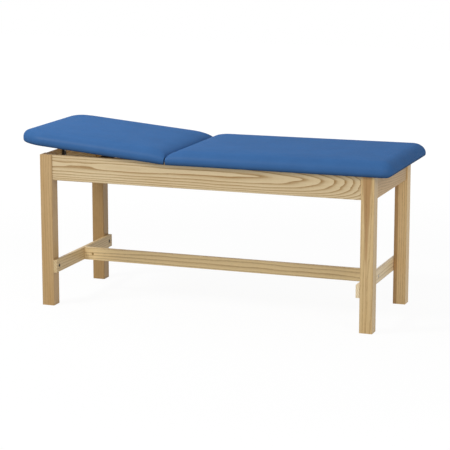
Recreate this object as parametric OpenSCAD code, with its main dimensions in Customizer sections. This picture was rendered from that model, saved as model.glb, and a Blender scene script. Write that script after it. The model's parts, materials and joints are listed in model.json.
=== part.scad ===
// Two-section examination table on a wooden H-brace frame.
// Millimetres. +X runs to the foot end, +Y to the back, +Z up, and the floor is Z = 0.
// The origin is the middle of the bounding box at floor level.

/* [Top] */
// Length of the seat section, from the joint to the foot end
seat_len = 1087; // [900:1:1250]
// Length of the back section, from the joint to the head end
back_len = 780; // [650:0.5:850]
// Width of the padded top
top_w = 688; // [640:1:760]
// Thickness of the seat board
board_t = 18; // [15:0.5:22]
// Thickness of the back board, a little thinner so that it clears the frame
back_board_t = 17.5; // [14:0.5:21]
// Thickness of the foam and vinyl over the boards
foam_t = 33.5; // [22:0.5:45]
// How much thicker the seat pad is at its foot end
seat_rise = 5; // [0:0.5:10]
// Width of the soft edge round a board
pad_side = 11.5; // [8:0.5:20]
// How far the soft edge hangs below the board
pad_lip = 14; // [6:0.5:24]
// Radius of the seat's outer corners, seen from above
foot_corner_r = 50; // [40:1:90]
// Radius of the backrest's outer corners, seen from above
head_corner_r = 150; // [40:1:180]
// Rise of the pad's middle over its edge
pad_crown = 3; // [0:0.5:10]
// How far the long sides draw in between the corners
pad_draw = 2; // [0:0.5:5]
// Tilt of the backrest as it stands
rest_tilt = 5; // [2:0.1:10]
// Highest tilt of the backrest above flat
max_tilt = 48; // [30:1:50]

/* [Frame] */
// Height of the legs
frame_h = 737; // [600:1:850]
// Side of a square leg
leg_w = 62; // [50:1:75]
// How far the top reaches past the foot legs
foot_overhang = 79; // [30:1:100]
// How far the top reaches past the head legs
head_overhang = 136; // [40:0.5:160]
// Height of an apron
apron_h = 122; // [105:1:140]
// Thickness of an apron
apron_t = 19; // [16:0.5:25]
// Step from a leg's face back to the apron's face
apron_inset = 5; // [1:0.5:8]
// Height of a stretcher
stretcher_h = 62; // [50:1:80]
// Thickness of an end stretcher
stretcher_t = 18; // [16:0.5:25]
// Thickness of the long stretcher
long_t = 20; // [18:0.5:28]
// Height of the stretchers' lower edge above the floor
stretcher_z = 164; // [100:1:260]
// Radius of the eased edges of the legs
leg_ease = 3; // [1:0.5:6]
// Radius of the eased edges of the other wooden pieces
wood_ease = 2; // [0.5:0.5:4]

/* [Supports] */
// Thickness of a corner brace
brace_t = 22; // [16:1:28]
// Width of a cross rail under the seat board
rail_w = 70; // [50:1:100]
// Thickness of the cross rails and of the cleats
rail_t = 19; // [15:0.5:25]
// Width of a batten under the back board
batten_w = 25; // [20:1:35]
// Height of a batten under the back board
batten_h = 32; // [30:1:40]
// Distance from a batten's outer face to the apron
batten_margin = 62; // [55:1:100]
// Thickness of a ratchet rack
rack_t = 20; // [16:1:26]
// Slope of the ratchet racks
rack_slope = 10.5; // [9:0.1:12]
// Number of notches in a rack
notch_n = 5; // [3:1:6]
// Depth of a notch
notch_depth = 4; // [2:0.5:6]

/* [Prop] */
// Length of a prop arm between its two pins, as a share of the room between hinge and head legs
prop_share = 0.476; // [0.44:0.001:0.48]
// Distance of the prop's upper pin below the back board
pivot_drop = 16; // [14:0.5:18]
// Width of a prop arm
arm_w = 24; // [18:1:27]
// Thickness of a prop arm
arm_t = 5; // [3:0.5:8]
// Diameter of the prop's foot rod
rod_d = 12; // [8:0.5:16]
// Wall of the rubber caps on the foot rod
cap_t = 2; // [1:0.5:3]
// Diameter of the pivot bolts
pivot_d = 10; // [6:0.5:12]

/* [Hinge] */
// Distance from an end of the piano hinge to the frame's side
hinge_margin = 31; // [20:1:80]
// Number of knuckles, an odd number
knuckle_n = 15; // [9:2:25]
// Thickness of a hinge leaf
leaf_t = 1.2; // [0.8:0.1:1.6]
// Height of a hinge leaf below its pin
leaf_h = 15; // [10:0.5:16]
// Diameter of the hinge pin
pin_d = 3; // [2:0.1:3.4]

/* [Fasteners] */
// Diameter of the frame bolts
bolt_d = 8; // [6:0.5:10]
// Diameter of the counterbores for the bolt heads
bore_d = 19; // [17:0.5:24]
// Depth of the counterbores
bore_depth = 8; // [6:0.5:10]
// Diameter of a wood screw
screw_d = 4.5; // [3:0.1:6]
// Length of a wood screw
screw_len = 32; // [26:1:36]

/* [Hidden] */
$fn = 48;
wood = [0.80, 0.68, 0.48];
plywood = [0.72, 0.58, 0.40];
vinyl = [0.18, 0.34, 0.64];
steel = [0.62, 0.63, 0.65];
dark_steel = [0.16, 0.16, 0.17];
rubber = [0.07, 0.07, 0.075];

// Clearances, and the overrun of every cut
run_gap = 0.05;
move_gap = 0.4;
ride_gap = 0.3;
pocket_gap = 0.4;
lip_gap = 1.5;
cut = 1;

// The pad's edge: widest at pad_mid over the board's underside. Above it the vinyl rolls over
// the foam in quarter ellipses: pad_roll wide along the sides, foot_nose or head_nose at the outer end and
// joint_roll towards the joint. Below it the edge turns in over pad_under along the sides and
// rises over pad_heel towards the outer end.
pad_mid = 6;
pad_roll = 75;
foot_nose = 62;
head_nose = 98;
joint_roll = 100;
pad_under = 8;
pad_heel = 25;
pad_tip = 0.5;
pad_tip_shares = [0.95, 0.65, 0.4, 0.2, 0];
pad_roll_shares = [0, 0.03, 0.1, 0.22, 0.4, 0.65, 1];
pad_run_shares = [0.05, 0.11, 0.2, 0.4, 0.6, 0.78, 0.88, 0.94];
pad_floor_share = 0.9;
pad_under_share = 0.7;
pad_skin = 4.5;
crown_fade = 200;
crown_start_share = 0.3;
corner_steps = 6;

// Small sizes of the hinge, the stops and the fasteners
joint_gap = 6.4;
knuckle_r = 2.9;
knuckle_gap = 0.25;
leaf_clear = 3;
hinge_screw_d = 2.5;
hinge_screw_len = 18;
hinge_screw_n = 8;
hinge_screw_share = 0.6;
screw_head_d = 9;
screw_head_h = 2.6;
hex_w = 13;
hex_h = 5.3;
washer_d = 16;
washer_t = 1.6;
leg_bolt_grip = 45;
centre_bolt_grip = 62;
barrel_d = 12;
barrel_place = 45;
dowel_d = 8;
dowel_len = 30;
dowel_z = 19;
hanger_grip = 42;
hanger_tail = 12;
brace_seat = 10;
brace_drop = 12;
brace_gap = 5;
rack_margin = 24;
stop_w = 24;
stop_t = 12;
stop_h = 44;
stop_place_share = 0.362;
stop_rise = 1.2;
stop_tilt = 0.1;
rail_gap = 6;
cleat_end = 130;
batten_start = 30;
batten_back_off = 13;
batten_screw_len = 45;
spreader_d = 10;
pivot_head_d = 17;
pivot_head_h = 5;
nut_h = 8;
cap_len = 24;
rod_margin = 5;
rail_screw_shares = [-0.4, 0, 0.4];
cleat_screw_shares = [0.13, 0.36, 0.64, 0.9];
rack_screw_shares = [0.12, 0.5, 0.88];
stop_screw_shares = [0.25, 0.75];
batten_screw_shares = [0.08, 0.32, 0.7, 0.94];

// Places along the table
frame_len = seat_len + back_len - foot_overhang - head_overhang;
frame_w = top_w - 2 * (pad_side + lip_gap);
hinge_z = frame_h + board_t;
rest_reach = max([for (share = pad_tip_shares) let (x = back_len - pad_side * share)
    x * cos(rest_tilt) + (board_t - low_at(x, back_len)) * sin(rest_tilt)]);
joint_x = (rest_reach - seat_len) / 2;
foot_x = joint_x + seat_len - foot_overhang;
head_x = foot_x - frame_len;
mid_x = (foot_x + head_x) / 2;
half_len = frame_len / 2;
half_w = frame_w / 2;
board_half = half_w + lip_gap - pocket_gap;
end_gap = joint_gap / 2;
apron_y = half_w - apron_inset - apron_t;
apron_x = half_len - apron_inset - apron_t;
batten_y = apron_y - batten_margin;
rod_y = apron_y - cap_t - rod_margin;
stop_y = half_w * stop_place_share;
head_room = back_len - head_overhang - leg_w;
batten_end = head_room - batten_back_off;
prop_len = head_room * prop_share;
hinge_run = frame_w - 2 * hinge_margin;
knuckle_len = hinge_run / knuckle_n;
apron_z = frame_h - apron_h;
stretcher_x = half_len - leg_w;
stretcher_mid_z = stretcher_z + stretcher_h / 2;
corner_room = leg_w - apron_inset - apron_t;
brace_reach = 2 * corner_room - brace_seat;

// The prop: the hinge pin, the upper pin and the foot make an isosceles triangle, so the foot
// stays on one straight line through the hinge pin, along the racks, at every tilt.
pin_drop_angle = asin((back_board_t + pivot_drop) / prop_len);
function prop_rise(tilt) = tilt - pin_drop_angle + rack_slope;
function foot_way(tilt) = 2 * prop_len * cos(prop_rise(tilt));
prop_angle = prop_rise(rest_tilt) + rack_slope;
foot_r = rod_d / 2 + cap_t;
// The prop's foot passes below the braces at the head end
brace_z = hinge_z - (head_room + corner_room - brace_reach - brace_t * sqrt(2)) * tan(rack_slope)
    + foot_r / cos(rack_slope) + brace_gap;
brace_h = frame_h - brace_drop - brace_z;
arm_y = batten_y + move_gap;
rack_low = foot_way(stop_tilt) + rack_margin;
rack_high = foot_way(max_tilt) - rack_margin;
function notch_tilt(i) = rest_tilt + (max_tilt - rest_tilt) * i / (notch_n - 1);

// A rectangle with rounded corners as a list of points, from [0, 0] to [w, h]
function eased(w, h, r, steps = 4) = [for (c = [[w - r, h - r, 0], [r, h - r, 90], [r, r, 180], [w - r, r, 270]])
    for (i = [0:steps]) [c[0] + r * cos(c[2] + 90 * i / steps), c[1] + r * sin(c[2] + 90 * i / steps)]];

// Bars with eased edges along X, Y and Z, from their lowest corner
module bar_x(at, size, r) {
    translate(at) rotate([90, 0, 90]) linear_extrude(size[0]) polygon(eased(size[1], size[2], r));
}
module bar_y(at, size, r) {
    translate(at) translate([0, size[1], 0]) rotate([90, 0, 0]) linear_extrude(size[1])
        polygon(eased(size[0], size[2], r));
}
module bar_z(at, size, r) {
    translate(at) linear_extrude(size[2]) polygon(eased(size[0], size[1], r));
}

// A countersunk wood screw, its head's face at the origin and its point at +Z
module screw(len, d = screw_d, head_d = screw_head_d, head_h = screw_head_h) {
    cylinder(h = head_h, r1 = head_d / 2, r2 = d / 2, $fn = 24);
    cylinder(h = len, r = d / 2, $fn = 24);
}
module hex(w, h) {
    cylinder(h = h, r = w / sqrt(3), $fn = 6);
}
module tube(h, r, hole) {
    difference() {
        cylinder(h = h, r = r);
        translate([0, 0, -cut]) cylinder(h = h + 2 * cut, r = hole);
    }
}

// Frames of reference: the hinge pin, the back section and the prop
module at_hinge() {
    translate([joint_x, 0, hinge_z]) children();
}
module in_back() {
    at_hinge() rotate([0, rest_tilt, 0]) children();
}
module in_prop() {
    in_back() translate([-prop_len * cos(pin_drop_angle), 0, -back_board_t - pivot_drop])
        rotate([0, -prop_angle - rest_tilt, 0]) children();
}
module corner(side_x, side_y) {
    translate([mid_x + side_x * apron_x, side_y * apron_y, 0]) mirror([side_x > 0 ? 1 : 0, 0, 0])
        mirror([0, side_y > 0 ? 1 : 0, 0]) children();
}
module each_corner() {
    for (side_x = [-1, 1], side_y = [-1, 1]) corner(side_x, side_y) children();
}

// Legs
module leg(side_x, side_y) {
    color(wood) difference() {
        bar_z([mid_x + side_x * half_len - (side_x > 0 ? leg_w : 0), side_y * half_w - (side_y > 0 ? leg_w : 0), 0],
            [leg_w, leg_w, frame_h], leg_ease);
        corner(side_x, side_y) brace_block(brace_seat, cut);
        corner(side_x, side_y) hanger_bolt();
        leg_bolt_at(side_x, side_y) cylinder(h = leg_bolt_grip + bore_depth, r = bolt_d / 2);
    }
}

// Aprons
module long_apron(side_y) {
    color(wood) difference() {
        bar_x([head_x + leg_w, side_y > 0 ? apron_y : -apron_y - apron_t, apron_z],
            [frame_len - 2 * leg_w, apron_t, apron_h], wood_ease);
        rack_screw_set(side_y);
        cleat_screw_set(side_y);
    }
}
module end_apron(side_x) {
    color(wood) difference() {
        bar_y([side_x > 0 ? mid_x + apron_x : mid_x - apron_x - apron_t, leg_w - half_w, apron_z],
            [apron_t, frame_w - 2 * leg_w, apron_h], wood_ease);
        if (side_x < 0) rest_stop_screw_set();
    }
}

// Stretchers: an end stretcher is bolted to the inner faces of two legs, the long one between them
module leg_bolt_at(side_x, side_y) {
    translate([mid_x + side_x * (stretcher_x - stretcher_t + bore_depth), side_y * (half_w - leg_w / 2),
        stretcher_mid_z]) rotate([0, side_x * 90, 0]) children();
}
module centre_bolt_at(side_x) {
    translate([mid_x + side_x * (stretcher_x - bore_depth), 0, stretcher_mid_z])
        rotate([0, -side_x * 90, 0]) children();
}
module dowels_at(side_x) {
    for (side_z = [-1, 1])
        translate([mid_x + side_x * (stretcher_x - stretcher_t), 0, stretcher_mid_z + side_z * dowel_z])
            rotate([0, 90, 0]) translate([0, 0, -dowel_len / 2]) cylinder(h = dowel_len, r = dowel_d / 2);
}
module end_stretcher(side_x) {
    color(wood) difference() {
        bar_y([mid_x + side_x * stretcher_x - (side_x > 0 ? stretcher_t : 0), -half_w, stretcher_z],
            [stretcher_t, frame_w, stretcher_h], wood_ease);
        for (side_y = [-1, 1]) leg_bolt_at(side_x, side_y) {
            translate([0, 0, -bore_depth - cut]) cylinder(h = bore_depth + cut, r = bore_d / 2);
            cylinder(h = stretcher_t, r = bolt_d / 2);
        }
        centre_bolt_at(side_x) {
            translate([0, 0, -bore_depth - cut]) cylinder(h = bore_depth + cut, r = bore_d / 2);
            cylinder(h = stretcher_t, r = bolt_d / 2);
        }
        dowels_at(side_x);
    }
}
module long_stretcher() {
    long_x = 2 * (stretcher_x - stretcher_t);
    color(wood) difference() {
        bar_x([mid_x - long_x / 2, -long_t / 2, stretcher_z], [long_x, long_t, stretcher_h], wood_ease);
        for (side_x = [-1, 1]) {
            centre_bolt_at(side_x) cylinder(h = centre_bolt_grip, r = bolt_d / 2);
            dowels_at(side_x);
            barrel_nut(side_x, cut);
        }
    }
}
module barrel_nut(side_x, over = 0) {
    translate([mid_x + side_x * (stretcher_x - stretcher_t - barrel_place), long_t / 2 + over, stretcher_mid_z])
        rotate([90, 0, 0]) cylinder(h = long_t + 2 * over, r = barrel_d / 2);
}
module barrel_nuts() {
    color(steel) for (side_x = [-1, 1]) difference() {
        barrel_nut(side_x);
        centre_bolt_at(side_x) cylinder(h = centre_bolt_grip, r = bolt_d / 2);
    }
}
module stretcher_dowels() {
    color(wood) for (side_x = [-1, 1]) dowels_at(side_x);
}

// A bolt with its washer's seat at the origin and its end at +Z, and its washer
module hex_bolt(grip) {
    translate([0, 0, -washer_t - hex_h]) hex(hex_w, hex_h);
    translate([0, 0, -washer_t]) cylinder(h = washer_t + grip, r = bolt_d / 2);
}
module flat_washer() {
    translate([0, 0, -washer_t]) tube(washer_t, washer_d / 2, bolt_d / 2);
}
module leg_bolts() {
    color(steel) for (side_x = [-1, 1], side_y = [-1, 1]) leg_bolt_at(side_x, side_y) hex_bolt(leg_bolt_grip);
}
module leg_bolt_washers() {
    color(steel) for (side_x = [-1, 1], side_y = [-1, 1]) leg_bolt_at(side_x, side_y) flat_washer();
}
module centre_bolts() {
    color(steel) for (side_x = [-1, 1]) centre_bolt_at(side_x) hex_bolt(centre_bolt_grip);
}
module centre_bolt_washers() {
    color(steel) for (side_x = [-1, 1]) centre_bolt_at(side_x) flat_washer();
}

// Corner braces: a bar set at 45 degrees across a corner, against a flat cut on the leg.
// In a corner's own frame the two aprons' inner faces are X = 0 and Y = 0.
module brace_block(depth, over = 0) {
    far = brace_reach + depth * sqrt(2);
    translate([0, 0, brace_z - over]) linear_extrude(brace_h + 2 * over)
        polygon([[brace_reach, 0], [far, 0], [0, far], [0, brace_reach]]);
}
module hanger_at() {
    translate([brace_reach / 2, brace_reach / 2, brace_z + brace_h / 2]) rotate([90, 0, 135]) children();
}
module hanger_bolt() {
    hanger_at() translate([0, 0, -hanger_grip]) cylinder(h = hanger_grip + brace_t + hanger_tail, r = bolt_d / 2);
}
module corner_brace(side_x, side_y) {
    color(wood) corner(side_x, side_y) difference() {
        brace_block(brace_t);
        hanger_bolt();
    }
}
module hanger_bolts() {
    color(steel) each_corner() hanger_bolt();
}
module hanger_washers() {
    color(steel) each_corner() hanger_at() translate([0, 0, brace_t]) tube(washer_t, washer_d / 2, bolt_d / 2);
}
module hanger_nuts() {
    color(steel) each_corner() hanger_at() translate([0, 0, brace_t + washer_t]) difference() {
        hex(hex_w, nut_h);
        translate([0, 0, -cut]) cylinder(h = nut_h + 2 * cut, r = bolt_d / 2);
    }
}

// Rails and cleats that carry the seat board
rail_len = 2 * (apron_y - rail_t);
seat_run = foot_x - cleat_end - joint_x - rail_gap;
rail_x = [joint_x + rail_gap, joint_x + rail_gap + seat_run / 2];
module rail_screw_set(i) {
    for (share = rail_screw_shares)
        translate([rail_x[i] + rail_w / 2, share * rail_len, frame_h - rail_t]) screw(screw_len);
}
module rail(i) {
    color(wood) difference() {
        bar_y([rail_x[i], -rail_len / 2, frame_h - rail_t], [rail_w, rail_len, rail_t], wood_ease);
        rail_screw_set(i);
    }
}
module rail_screws() {
    color(steel) for (i = [0, 1]) rail_screw_set(i);
}
module cleat_screw_set(side_y) {
    for (share = cleat_screw_shares)
        translate([rail_x[0] + share * seat_run, side_y * (apron_y - rail_t), frame_h - rail_t / 2])
            rotate([side_y * -90, 0, 0]) screw(screw_len);
}
module cleat(side_y) {
    color(wood) difference() {
        bar_x([rail_x[0], side_y > 0 ? apron_y - rail_t : -apron_y, frame_h - rail_t],
            [seat_run, rail_t, rail_t], wood_ease);
        cleat_screw_set(side_y);
    }
}
module cleat_screws() {
    color(steel) for (side_y = [-1, 1]) cleat_screw_set(side_y);
}

// Ratchet racks: their crest runs just under the line that the prop's foot follows
function on_line(way, below) = [joint_x - way * cos(rack_slope) + below * sin(rack_slope),
    hinge_z - way * sin(rack_slope) - below * cos(rack_slope)];
module rack_screw_set(side_y) {
    for (share = rack_screw_shares) {
        at = on_line(rack_low + (rack_high - rack_low) * share, foot_r + ride_gap);
        translate([at[0], side_y * (apron_y - rack_t), (at[1] + apron_z) / 2 - notch_depth / 2])
            rotate([side_y * -90, 0, 0]) screw(screw_len);
    }
}
module rack(side_y) {
    low = on_line(rack_low, foot_r + ride_gap);
    high = on_line(rack_high, foot_r + ride_gap);
    color(wood) difference() {
        translate([0, side_y > 0 ? apron_y : rack_t - apron_y, 0]) rotate([90, 0, 0]) linear_extrude(rack_t)
            polygon([[low[0], apron_z], low, high, [high[0], apron_z]]);
        for (i = [0:notch_n - 1]) {
            at = on_line(foot_way(notch_tilt(i)), notch_depth);
            translate([at[0], side_y > 0 ? apron_y + cut : rack_t + cut - apron_y, at[1]])
                rotate([90, 0, 0]) cylinder(h = rack_t + 2 * cut, r = foot_r + ride_gap);
        }
        rack_screw_set(side_y);
    }
}
module rack_screws() {
    color(steel) for (side_y = [-1, 1]) rack_screw_set(side_y);
}

// Rubber stops inside the head apron, on which the lowered backrest lands
stop_x = mid_x - apron_x;
module rest_stop_screw_set() {
    for (side_y = [-1, 1], share = stop_screw_shares)
        translate([stop_x + stop_t, side_y * stop_y, frame_h - share * stop_h]) rotate([0, -90, 0])
            screw(stop_t + apron_t - leg_ease);
}
module rest_stops() {
    color(rubber) difference() {
        for (side_y = [-1, 1]) bar_x([stop_x, side_y * stop_y - stop_w / 2, frame_h - stop_h],
            [stop_t, stop_w, stop_h + stop_rise], wood_ease);
        rest_stop_screw_set();
    }
}
module rest_stop_screws() {
    color(steel) rest_stop_screw_set();
}

// A board and its pad, drawn from the hinge pin's X to the outer end, with Z = 0 under the board.
// The corner points of the board and of the pad's pocket lie on circles about one centre.
function board_end(len) = len - pad_side - pocket_gap;
function board_r(form) = form[1] - pad_side - pocket_gap;
function corner_x(len, i, grow, form) = board_end(len) + grow
    - (board_r(form) + grow) * (1 - sin(90 * i / corner_steps));
function corner_y(i, grow, form) = board_half + grow
    - (board_r(form) + grow) * (1 - cos(90 * i / corner_steps));
module board_blank(len, t, form) {
    edge = [for (i = [0:corner_steps]) [corner_x(len, i, 0, form), corner_y(i, 0, form)]];
    back_edge = [for (i = [0:corner_steps]) [edge[corner_steps - i][0], -edge[corner_steps - i][1]]];
    linear_extrude(t) polygon(concat([[end_gap, board_half]], edge, back_edge, [[end_gap, -board_half]]));
}

// Half width, top, width of the rolled side, bottom and crown of the pad at x from the hinge pin.
// A pad's form is its rise, the radius of its corners and the length of its rounded outer end.
seat_form = [seat_rise, foot_corner_r, foot_nose];
back_form = [0, head_corner_r, head_nose];
function nose(x, len) = len + pad_tip - x;
function dome(a, r) = a >= r ? 1 : sqrt(max(0, 1 - pow((r - a) / r, 2)));
function ramp(a, r) = a <= 0 ? 0 : a >= r ? 1 : (1 - cos(180 * a / r)) / 2;
function half_at(x, len, form) = top_w / 2 - pad_draw * sin(180 * (x - end_gap) / (len - end_gap))
    - form[1] * (1 - dome(nose(x, len), form[1]));
function foam_at(x, len, form) = foam_t + form[0] * x / len;
function top_at(x, len, form) = min(
    board_t + max(pad_skin, foam_at(x, len, form) * dome(x - end_gap, joint_roll)),
    pad_mid + (board_t + foam_at(x, len, form) - pad_mid) * dome(nose(x, len), form[2]));
function roll_at(x, len, form) = pad_roll * (top_at(x, len, form) - pad_mid)
    / (board_t + foam_at(x, len, form) - pad_mid);
function low_at(x, len) = pad_mid - (pad_mid + pad_lip) * dome(nose(x, len), pad_heel);
function crown_at(x, len, form) = pad_crown * ramp(x - end_gap - joint_roll * crown_start_share, crown_fade)
    * ramp(nose(x, len) - form[2] * crown_start_share, crown_fade);

// Half of a cross-section: over the crown, round the edge and up the pocket's wall.
// Past the board's end the pocket is closed and the section has a flat floor.
function half_ring(x, len, form, pocket_y, closed = false, nc = 5, nu = 8, nl = 4) =
    let (w = half_at(x, len, form), t = top_at(x, len, form), b = low_at(x, len), c = crown_at(x, len, form),
         e = roll_at(x, len, form), f = min(pad_under, (w - pocket_y) * pad_under_share))
    concat(
        [for (i = [0:nc]) [x, (w - e) * i / nc, t + c * (1 - pow(i / nc, 2))]],
        [for (k = [1:nu]) [x, w - e + e * sin(90 * k / nu), pad_mid + (t - pad_mid) * cos(90 * k / nu)]],
        [for (k = [1:nl]) [x, w - f + f * cos(90 * k / nl), pad_mid - (pad_mid - b) * sin(90 * k / nl)]],
        [[x, pocket_y, b], closed ? [x, pocket_y * pad_floor_share, b] : [x, pocket_y, board_t]]);
function whole_ring(half) = concat(half, [for (i = [len(half) - 1:-1:1]) [half[i][0], -half[i][1], half[i][2]]]);

// The rings from the joint to the outer end
function pad_rings(len, form) = let (roll = end_gap + joint_roll, wall_y = corner_y(0, pocket_gap, form),
    run = corner_x(len, 0, pocket_gap, form) - roll)
    concat(
        [for (share = pad_roll_shares) half_ring(end_gap + joint_roll * share, len, form, wall_y)],
        [for (share = pad_run_shares) half_ring(roll + run * share, len, form, wall_y)],
        [for (i = [0:corner_steps])
            half_ring(corner_x(len, i, pocket_gap, form), len, form, corner_y(i, pocket_gap, form))],
        [for (share = pad_tip_shares)
            half_ring(len - pad_side * share, len, form, corner_y(corner_steps, pocket_gap, form), true)]);
// A closed skin over the rings. n is the number of points in half a ring; the first ring
// is open below and is closed from its inner corners, the last from a point in its middle.
module loft(rings, n) {
    m = len(rings[0]);
    k = len(rings) * m;
    top = rings[len(rings) - 1][0];
    floor_z = rings[len(rings) - 1][n - 1][2];
    points = concat([for (ring = rings, p = ring) p], [[top[0], 0, (top[2] + floor_z) / 2]]);
    sides = [for (s = [0:len(rings) - 2], i = [0:m - 1]) let (a = s * m + i, b = s * m + (i + 1) % m)
        each [[a, b, b + m], [a, b + m, a + m]]];
    first = concat([for (i = [0:n - 3]) [n - 1, i + 1, i]], [[n, n - 1, 0]],
        [for (i = [n + 1:m - 1]) [n, (i + 1) % m, i]]);
    last = [for (i = [0:m - 1]) [k, k - m + i, k - m + (i + 1) % m]];
    polyhedron(points = points, faces = concat(sides, first, last));
}
module pad_blank(run, form) {
    halves = pad_rings(run, form);
    loft([for (half = halves) whole_ring(half)], len(halves[0]));
}

module seat_board() {
    color(plywood) difference() {
        translate([joint_x, 0, frame_h]) board_blank(seat_len, board_t, seat_form);
        rail_screws();
        at_hinge() hinge_screw_row(1);
    }
}
module seat_pad() {
    color(vinyl) translate([joint_x, 0, frame_h]) pad_blank(seat_len, seat_form);
}
module back_board() {
    color(plywood) in_back() difference() {
        translate([0, 0, -back_board_t]) mirror([1, 0, 0]) board_blank(back_len, back_board_t, back_form);
        for (side_y = [-1, 1]) batten_screw_set(side_y);
        hinge_screw_row(-1);
    }
}
module back_pad() {
    color(vinyl) in_back() translate([0, 0, -board_t]) mirror([1, 0, 0]) pad_blank(back_len, back_form);
}

// Battens under the back board, from the hinge pin's frame
module batten_screw_set(side_y) {
    for (share = batten_screw_shares)
        translate([-batten_start - share * (batten_end - batten_start), side_y * (batten_y - batten_w / 2),
            -back_board_t - batten_h]) screw(batten_screw_len);
}
module pivot_at(side_y) {
    translate([-prop_len * cos(pin_drop_angle), side_y * batten_y, -back_board_t - pivot_drop])
        rotate([side_y * -90, 0, 0]) children();
}
module batten(side_y) {
    color(wood) in_back() difference() {
        bar_x([-batten_end, side_y > 0 ? batten_y - batten_w : -batten_y, -back_board_t - batten_h],
            [batten_end - batten_start, batten_w, batten_h], wood_ease);
        batten_screw_set(side_y);
        pivot_at(side_y) translate([0, 0, -batten_w - cut]) cylinder(h = batten_w + 2 * cut, r = pivot_d / 2);
    }
}
module batten_screws() {
    color(steel) in_back() for (side_y = [-1, 1]) batten_screw_set(side_y);
}
module prop_pivot_bolts() {
    color(steel) in_back() for (side_y = [-1, 1]) pivot_at(side_y) {
        translate([0, 0, -batten_w - nut_h]) cylinder(h = batten_w + nut_h + arm_t + 2 * move_gap, r = pivot_d / 2);
        translate([0, 0, arm_t + 2 * move_gap]) cylinder(h = pivot_head_h, r = pivot_head_d / 2);
    }
}
module prop_pivot_nuts() {
    color(steel) in_back() for (side_y = [-1, 1]) pivot_at(side_y)
        translate([0, 0, -batten_w - nut_h]) difference() {
        hex(pivot_head_d, nut_h);
        translate([0, 0, -cut]) cylinder(h = nut_h + 2 * cut, r = pivot_d / 2);
    }
}

// The prop: two arms, a foot rod with rubber caps and a spreader
module prop_arm(side_y) {
    color(dark_steel) in_prop() translate([0, side_y > 0 ? arm_y + arm_t : -arm_y, 0])
        rotate([90, 0, 0]) difference() {
        linear_extrude(arm_t) {
            translate([-prop_len, -arm_w / 2]) square([prop_len, arm_w]);
            circle(r = arm_w / 2);
            translate([-prop_len, 0]) circle(r = arm_w / 2);
        }
        translate([0, 0, -cut]) cylinder(h = arm_t + 2 * cut, r = pivot_d / 2 + run_gap);
        translate([-prop_len, 0, -cut]) cylinder(h = arm_t + 2 * cut, r = rod_d / 2);
    }
}
module prop_rod() {
    color(dark_steel) in_prop() translate([-prop_len, rod_y, 0]) rotate([90, 0, 0])
        cylinder(h = 2 * rod_y, r = rod_d / 2);
}
module prop_spreader() {
    color(dark_steel) in_prop() translate([-prop_len / 2, arm_y, 0]) rotate([90, 0, 0])
        cylinder(h = 2 * arm_y, r = spreader_d / 2);
}
module prop_caps() {
    color(rubber) in_prop() for (side_y = [-1, 1]) translate([-prop_len, side_y * (rod_y - cap_len), 0])
        rotate([side_y * -90, 0, 0]) difference() {
            cylinder(h = cap_len + cap_t, r = foot_r);
            translate([0, 0, -cut]) cylinder(h = cap_len + cut, r = rod_d / 2);
        }
}

// Continuous hinge: a leaf on each board's end face, with every other knuckle
module hinge_screw_row(side) {
    for (i = [0:hinge_screw_n - 1])
        translate([side * (end_gap - leaf_t), ((i + 0.5) / hinge_screw_n - 0.5) * hinge_run,
            -leaf_h * hinge_screw_share]) rotate([0, side * 90, 0])
                screw(hinge_screw_len, hinge_screw_d, hinge_screw_d * 2, leaf_t);
}
module knuckle_place(i) {
    translate([0, i * knuckle_len - hinge_run / 2 + knuckle_gap, 0]) children();
}
module hinge_leaf(side, first, hole) {
    span = knuckle_len - 2 * knuckle_gap;
    plate_x = side > 0 ? end_gap - leaf_t : -end_gap;
    difference() {
        union() {
            translate([plate_x, -hinge_run / 2, -leaf_h]) cube([leaf_t, hinge_run, leaf_h - leaf_clear]);
            for (i = [first:2:knuckle_n - 1]) knuckle_place(i) {
                translate([plate_x, 0, -leaf_clear]) cube([leaf_t, span, leaf_clear]);
                rotate([-90, 0, 0]) cylinder(h = span, r = knuckle_r, $fn = 24);
            }
        }
        translate([0, -hinge_run / 2 - cut, 0]) rotate([-90, 0, 0])
            cylinder(h = hinge_run + 2 * cut, r = hole, $fn = 24);
        hinge_screw_row(side);
    }
}
module hinge_seat_leaf() {
    color(steel) at_hinge() hinge_leaf(1, 0, pin_d / 2);
}
module hinge_back_leaf() {
    color(steel) in_back() hinge_leaf(-1, 1, pin_d / 2 + run_gap);
}
module hinge_seat_screws() {
    color(steel) at_hinge() hinge_screw_row(1);
}
module hinge_back_screws() {
    color(steel) in_back() hinge_screw_row(-1);
}
module hinge_pin() {
    color(steel) at_hinge() translate([0, -hinge_run / 2, 0]) rotate([-90, 0, 0])
        cylinder(h = hinge_run, r = pin_d / 2, $fn = 24);
}

leg(-1, -1);  // leg_front_head
leg(1, -1);  // leg_front_foot
leg(-1, 1);  // leg_back_head
leg(1, 1);  // leg_back_foot
long_apron(-1);  // front_apron
long_apron(1);  // back_apron
end_apron(-1);  // head_apron
end_apron(1);  // foot_apron
end_stretcher(-1);  // head_stretcher
end_stretcher(1);  // foot_stretcher
long_stretcher();
corner_brace(-1, -1);  // corner_brace_front_head
corner_brace(1, -1);  // corner_brace_front_foot
corner_brace(-1, 1);  // corner_brace_back_head
corner_brace(1, 1);  // corner_brace_back_foot
hanger_bolts();
hanger_washers();
hanger_nuts();
leg_bolts();
leg_bolt_washers();
centre_bolts();
centre_bolt_washers();
barrel_nuts();
stretcher_dowels();
rail(0);  // hinge_rail
rail(1);  // mid_rail
cleat(-1);  // front_cleat
cleat(1);  // back_cleat
rail_screws();
cleat_screws();
rack(-1);  // rack_front
rack(1);  // rack_back
rack_screws();
rest_stops();
rest_stop_screws();
seat_board();
seat_pad();
back_board();
back_pad();
batten(-1);  // batten_front
batten(1);  // batten_back
batten_screws();
prop_pivot_bolts();
prop_pivot_nuts();
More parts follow.
